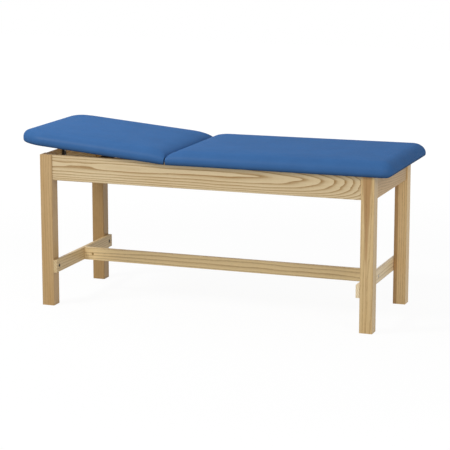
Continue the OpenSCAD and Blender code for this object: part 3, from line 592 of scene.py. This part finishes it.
def make_pad(form, mirrored):
    """A pad's closed skin in its own axes, as points and faces."""
    grid = pad_sections(form)
    stations, around, _ = grid.shape
    points = grid.reshape(-1, 3).copy()
    outside = np.zeros((stations, around), bool)
    outside[:, :2 * CROWN_STEPS + 1 + ROUND_STEPS + UNDER_STEPS] = True
    outside[:, around - ROUND_STEPS - UNDER_STEPS:] = True
    outside = outside.ravel()
    # each way is SWELL_START shorter, and none is left of a shorter one
    fade = ease(points[:, 2] + PAD_LIP, LIP_FADE) * ease(points[:, 0] - END_GAP - HELD_EDGE, JOINT_FADE)
    fade = fade * outside
    moved = swell(form, points)
    out = np.linalg.norm(moved, axis=1, keepdims=True)
    shorter = SWELL_START * moved / np.maximum(out, 1e-6) * np.minimum(1, out / SWELL_START)
    points += (moved - shorter) * fade[:, None]
    faces = pad_faces(stations, around)
    if mirrored:
        points[:, 0] *= -1
        faces = [face[::-1] for face in faces]
    return points, faces


def place_pad(points, tilt):
    """From the pad's own axes to the table's: turned about the hinge pin and set on it."""
    p = points.copy()
    p[:, 2] -= BOARD_T
    c, s = math.cos(tilt), math.sin(tilt)
    x, z = p[:, 0] * c + p[:, 2] * s, -p[:, 0] * s + p[:, 2] * c
    return np.stack([x + HINGE_X, p[:, 1], z + HINGE_Z], axis=1)


# The hem's width, its inset from the board's edge, thickness, folds round a corner, and start on the
# back board, and the points round a corner, along a side and along the end
HEM_WIDTH, HEM_EDGE, HEM_THICK, HEM_PLEATS, HEM_BACK_START = 0.024, 0.0002, 0.0003, 6, 0.04
HEM_CORNER, HEM_SIDE, HEM_END = 60, 24, 20
# A staple's length and width, the way between two, and how far to each side its direction is taken
STAPLE_LEN, STAPLE_W, STAPLE_STEP, STAPLE_AIM = 0.010, 0.0012, 0.030, 0.001
# How far a staple's two faces lie below the board: the lower one, and the one inside the hem
STAPLE_LOW, STAPLE_HIGH = 0.00045, 0.0001


def board_path(form, inset, start):
    """Points along a board's two sides and outer end, inset from its edge: a straight side from start,
    a quarter circle, the end, a quarter circle and the other side. Also how thick a folded hem is
    there: full on the straights, and in HEM_PLEATS folds that each grow from a half round a corner."""
    length, _, corner_r, _ = form
    half, end = POCKET_HALF - POCKET_GAP - inset, length - PAD_SIDE - POCKET_GAP - inset
    r = corner_r - PAD_SIDE - POCKET_GAP - inset
    k = np.linspace(0, np.pi / 2, HEM_CORNER + 1)
    side = np.linspace(start, end - r, HEM_SIDE)[:-1]
    x = np.concatenate([side, end - r + r * np.sin(k)])
    y = np.concatenate([np.full(len(side), half), half - r + r * np.cos(k)])
    # the factor keeps the last fold just short of starting anew
    pleats = 0.5 + 0.5 * np.mod(k / (np.pi / 2) * HEM_PLEATS * 0.9999, 1)
    fold = np.concatenate([np.ones(len(side)), pleats])
    across = np.linspace(half - r, r - half, HEM_END)[1:-1]
    x = np.concatenate([x, np.full(len(across), end), x[::-1]])
    y = np.concatenate([y, across, -y[::-1]])
    return np.stack([x, y], axis=1), np.concatenate([fold, np.ones(len(across)), fold[::-1]])


def make_hem(form, start, under):
    """The cover's hem, folded under the board: a thin closed strip."""
    inner, fold = board_path(form, HEM_WIDTH, start)
    outer, _ = board_path(form, HEM_EDGE, start)
    top, low = np.full(len(fold), under), under - HEM_THICK * fold
    rings = [np.column_stack(part) for part in ((inner, top), (outer, top), (outer, low), (inner, low))]
    grid = np.stack(rings, axis=1)
    return grid.reshape(-1, 3), pad_faces(len(fold), 4)


def make_staples(form, start, under):
    """Staples along the middle of the hem, one for each STAPLE_STEP of its length, as small boxes."""
    path, _ = board_path(form, HEM_WIDTH / 2, start)
    run = np.concatenate([[0], np.cumsum(np.linalg.norm(np.diff(path, axis=0), axis=1))])
    at = np.arange(STAPLE_STEP / 2, run[-1], STAPLE_STEP)
    points, faces = [], []
    for place in at:
        ends = np.array([[np.interp(place + way, run, path[:, axis]) for axis in (0, 1)]
                         for way in (-STAPLE_AIM, STAPLE_AIM)])
        along = (ends[1] - ends[0]) / np.linalg.norm(ends[1] - ends[0]) * STAPLE_LEN / 2
        out = np.array([-along[1], along[0]]) * STAPLE_W / STAPLE_LEN
        middle, first = ends.mean(axis=0), len(points)
        for z in (under - STAPLE_LOW, under - STAPLE_HIGH):
            points += [(*(middle + a * along + b * out), z) for a, b in ((-1, -1), (1, -1), (1, 1), (-1, 1))]
        faces += [[first + i for i in face] for face in
                  ((3, 2, 1, 0), (4, 5, 6, 7), (0, 1, 5, 4), (1, 2, 6, 5), (2, 3, 7, 6), (3, 0, 4, 7))]
    return np.array(points), faces


# ---------------------------------------------------------------- floor, light and world
FLOOR_R, FLOOR_GREY, FLOOR_WHITE, FADE_R = 12.0, 0.66, 1.04, 10.0
# How much of what is seen of the floor is plain white, from its middle to FADE_R away
WHITE_STOPS = [(0.0, 0.9), (0.18, 0.9), (0.5, 1.0), (1.0, 1.0)]
WORLD_LIGHT = 0.44
# Each lamp's place, target, width and height, and power
LAMPS = {
    "key": ((-2.7, -2.5, 4.3), (-0.2, 0, 0.7), (1.3, 1.1), 133),
    "fill": ((3.4, -2.9, 3.1), (0.2, 0, 0.6), (2.0, 2.0), 48),
    "head": ((-1.5, 0.6, 2.2), (-0.8, 0, 0.9), (0.8, 0.8), 4.5),
}


def make_floor():
    """A grey floor that keeps the object's shadow, under a white glow for what is seen of it."""
    material, nodes = new_material("studio_floor")
    diffuse = nodes.add("ShaderNodeBsdfDiffuse")
    diffuse.inputs[0].default_value = (FLOOR_GREY, FLOOR_GREY, FLOOR_GREY, 1)
    white = nodes.add("ShaderNodeEmission")
    white.inputs[0].default_value = (1, 1, 1, 1)
    white.inputs[1].default_value = FLOOR_WHITE
    way = nodes.add("ShaderNodeVectorMath", operation="LENGTH")
    nodes.put(way.inputs[0], nodes.coordinates("Object"))
    far = nodes.ramp(nodes.math("DIVIDE", way.outputs["Value"], FADE_R), WHITE_STOPS)
    both = nodes.add("ShaderNodeMixShader")
    nodes.put(both.inputs[0], nodes.math("MULTIPLY", nodes.seen(), far))
    nodes.put(both.inputs[1], diffuse.outputs[0])
    nodes.put(both.inputs[2], white.outputs[0])
    nodes.put(nodes.add("ShaderNodeOutputMaterial").inputs[0], both.outputs[0])
    r = FLOOR_R
    points = np.array([(-r, -r, 0), (r, -r, 0), (r, r, 0), (-r, r, 0)], float)
    floor = add_mesh("floor", points, [(0, 1, 2, 3)], material, False)


def make_world():
    """A white world that is plain white where it is seen, and WORLD_LIGHT strong as light."""
    world = bpy.data.worlds.new("studio")
    world.use_nodes = True
    world.node_tree.nodes.clear()
    nodes = Nodes(world.node_tree)
    background = nodes.add("ShaderNodeBackground")
    background.inputs[0].default_value = (1, 1, 1, 1)
    nodes.put(background.inputs[1], nodes.line(nodes.seen(), 1 - WORLD_LIGHT, WORLD_LIGHT))
    nodes.put(nodes.add("ShaderNodeOutputWorld").inputs[0], background.outputs[0])
    bpy.context.scene.world = world


def add_lamp(name, at, target, size, power):
    data = bpy.data.lights.new(name, "AREA")
    data.shape = "RECTANGLE"
    data.size, data.size_y = size
    data.energy = power
    lamp = bpy.data.objects.new(name, data)
    lamp.location = at
    way = np.array(target, float) - np.array(at, float)
    way /= np.linalg.norm(way)
    lamp.rotation_euler = (math.acos(-way[2]), 0, math.atan2(way[1], way[0]) - math.pi / 2)
    bpy.context.scene.collection.objects.link(lamp)


# ---------------------------------------------------------------- the table
def set_material(node, material):
    obj = frame["nodes"][node]
    for slot in obj.material_slots:
        slot.material = material


# Where the middle of the tree is in plain boards: far off the board, or near its middle
RIFT, PLAIN = (0, 0.21, 0.13), (0, 0.045, 0.004)
LEG_HEAD_X, LEG_FOOT_X = HEAD_X + LEG_W / 2, FOOT_X - LEG_W / 2
# Each board's way of the grain, the place that its own axes start at, which also keeps two boards
# from having the same grain, the middle of the tree in those axes, and what differs from plain wood
BOARDS = {
    "leg_front_head": ("z", (LEG_HEAD_X, -0.30, 0.1), (0, 0.16, 0.13), {"contrast": 0.3, "tone": -0.45}),
    # This leg's darker stripe, widest at its top, is heartwood and painted shade under the pad
    "leg_front_foot": ("z", (LEG_FOOT_X, -0.30, 1.3), (0, 0.07, 0.055),
        {"tone": 0.32, "tint": linear(244, 208, 152), "ring": 0.008, "contrast": 0.32,
         "heart_and_shade": (1.01, 0.46, 0.023, -0.002)}),
    "leg_back_head": ("z", (LEG_HEAD_X, 0.30, 2.1), (0, -0.13, 0.15),
        {"tone": -0.8, "tint": linear(174, 136, 84), "contrast": 0.3}),
    "leg_back_foot": ("z", (LEG_FOOT_X, 0.30, 3.4), (0, 0.13, 0.16),
        {"tone": 0.85, "tint": linear(250, 214, 156), "contrast": 0.3, "heart_and_shade": (9.0, 1.0, 0.016, -0.029)}),
    "front_apron": ("x", (MID_X + 0.2, -0.326, 0.690), (0, 0.045, 0.0),
        {"swing": 0.003, "flare": 0.27, "ring": 0.0085, "contrast": 0.84, "tone": 0.36}),
    "back_apron": ("x", (4.0, 0.32, 0.68), (0, -0.034, 0.005), {"swing": 0.018, "contrast": 0.8}),
    "head_apron": ("y", (HEAD_X, 5.0, 0.68), (0, 0.05, 0.02), {"swing": 0.015, "contrast": 0.7}),
    "foot_apron": ("y", (FOOT_X, 6.0, 0.68), (0, -0.05, 0.01),
        {"swing": 0.015, "contrast": 0.5, "tone": -0.5, "tint": linear(206, 156, 86)}),
    "head_stretcher": ("y", (HEAD_X, 7.0, 0.195), RIFT,
        {"tone": 0.35, "tint": linear(230, 206, 162), "ring": 0.009, "contrast": 0.4}),
    "foot_stretcher": ("y", (FOOT_X, 8.0, 0.195), RIFT,
        {"tone": 1.0, "tint": linear(255, 234, 194), "ring": 0.009, "contrast": 0.4}),
    "long_stretcher": ("x", (9.0, 0.0, 0.195), RIFT,
        {"tone": 0.9, "tint": linear(252, 225, 172), "ring": 0.0095, "contrast": 0.5}),
    "hinge_rail": ("y", (0.0, 10.0, 0.72), RIFT, {}),
    "mid_rail": ("y", (0.4, 11.0, 0.72), RIFT, {}),
    "front_cleat": ("x", (12.0, -0.3, 0.72), RIFT, {}),
    "back_cleat": ("x", (13.0, 0.3, 0.72), RIFT, {}),
    "rack_front": ("x", (14.0, -0.3, 0.65), PLAIN, {}),
    "rack_back": ("x", (15.0, 0.3, 0.65), PLAIN, {}),
    "batten_front": ("x", (16.0, -0.23, 0.72), PLAIN, {}),
    "batten_back": ("x", (17.0, 0.23, 0.72), PLAIN, {}),
    "stretcher_dowels": ("x", (18.0, 0.0, 0.195), RIFT, {}),
    **{"corner_brace_" + end: ("y", (0.1 * i, 19.0 + i, 0.7), PLAIN, {})
       for i, end in enumerate(("front_head", "front_foot", "back_head", "back_foot"))},
}


def main():
    bpy.context.scene.view_settings.view_transform = "Standard"
    make_camera()
    make_world()
    make_floor()
    for name, lamp in LAMPS.items():
        add_lamp(name, *lamp)
    wood, vinyl_cells, streaks = make_wood_group(), make_vinyl_group(), make_metal_group()
    zinc = make_steel("zinc_steel", streaks, linear(176, 176, 172), 0.30)
    # A dark zinc on the leg bolts and their washers: painted shade that stands for the shadow in their
    # counterbores
    painted_shade_zinc = make_steel("painted_shade_dark_zinc", streaks, linear(70, 68, 66), 0.5)
    yellow = make_steel("yellow_zinc", streaks, linear(176, 150, 104), 0.4)
    dark = make_steel("dark_steel", streaks, linear(44, 44, 47), 0.42, 0.0)
    rubber = make_rubber("rubber")
    ply = make_plywood("plywood", wood)
    blue = make_vinyl("blue_vinyl", vinyl_cells, linear(64, 111, 169))
    for node, (along, offset, pith, more) in BOARDS.items():
        set_material(node, make_wood("wood_" + node, wood, along, offset, pith, **more))
    for node in ("seat_board", "back_board"):
        set_material(node, ply)
    for node in ("prop_arm_front", "prop_arm_back", "prop_rod", "prop_spreader"):
        set_material(node, dark)
    for node in ("rest_stops", "prop_caps"):
        set_material(node, rubber)
    # The leg bolts and washers take the dark zinc of painted shade
    special = {"leg_bolts": painted_shade_zinc, "leg_bolt_washers": painted_shade_zinc, "barrel_nuts": yellow}
    for entry in frame["record"]["subparts"]:
        if entry["material_slot"] == "zinc_steel":
            set_material(entry["node"], special.get(entry["node"], zinc))

    for name, form, mirrored, tilt, body, node in (
            ("seat_cover", SEAT_FORM, False, 0.0, "frame", "seat_pad"),
            ("back_cover", BACK_FORM, True, REST_TILT, "backrest", "back_pad")):
        points, faces = make_pad(form, mirrored)
        pad = add_mesh(name, place_pad(points, tilt), faces, blue)
        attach(pad, body)
        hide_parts(node)
        start, under = (HEM_BACK_START, BOARD_T - BACK_BOARD_T) if mirrored else (FOOT_X - HINGE_X + LIP_GAP, 0.0)
        for part, make, material, slot in (
                ("hem", make_hem, blue, "blue_vinyl"),
                ("staples", make_staples, zinc, "zinc_steel")):
            points, faces = make(form, start, under)
            if mirrored:
                points[:, 0] *= -1
                faces = [face[::-1] for face in faces]
            piece = add_mesh(name.replace("cover", part), place_pad(points, tilt), faces, material, False)
            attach(piece, body)


main()
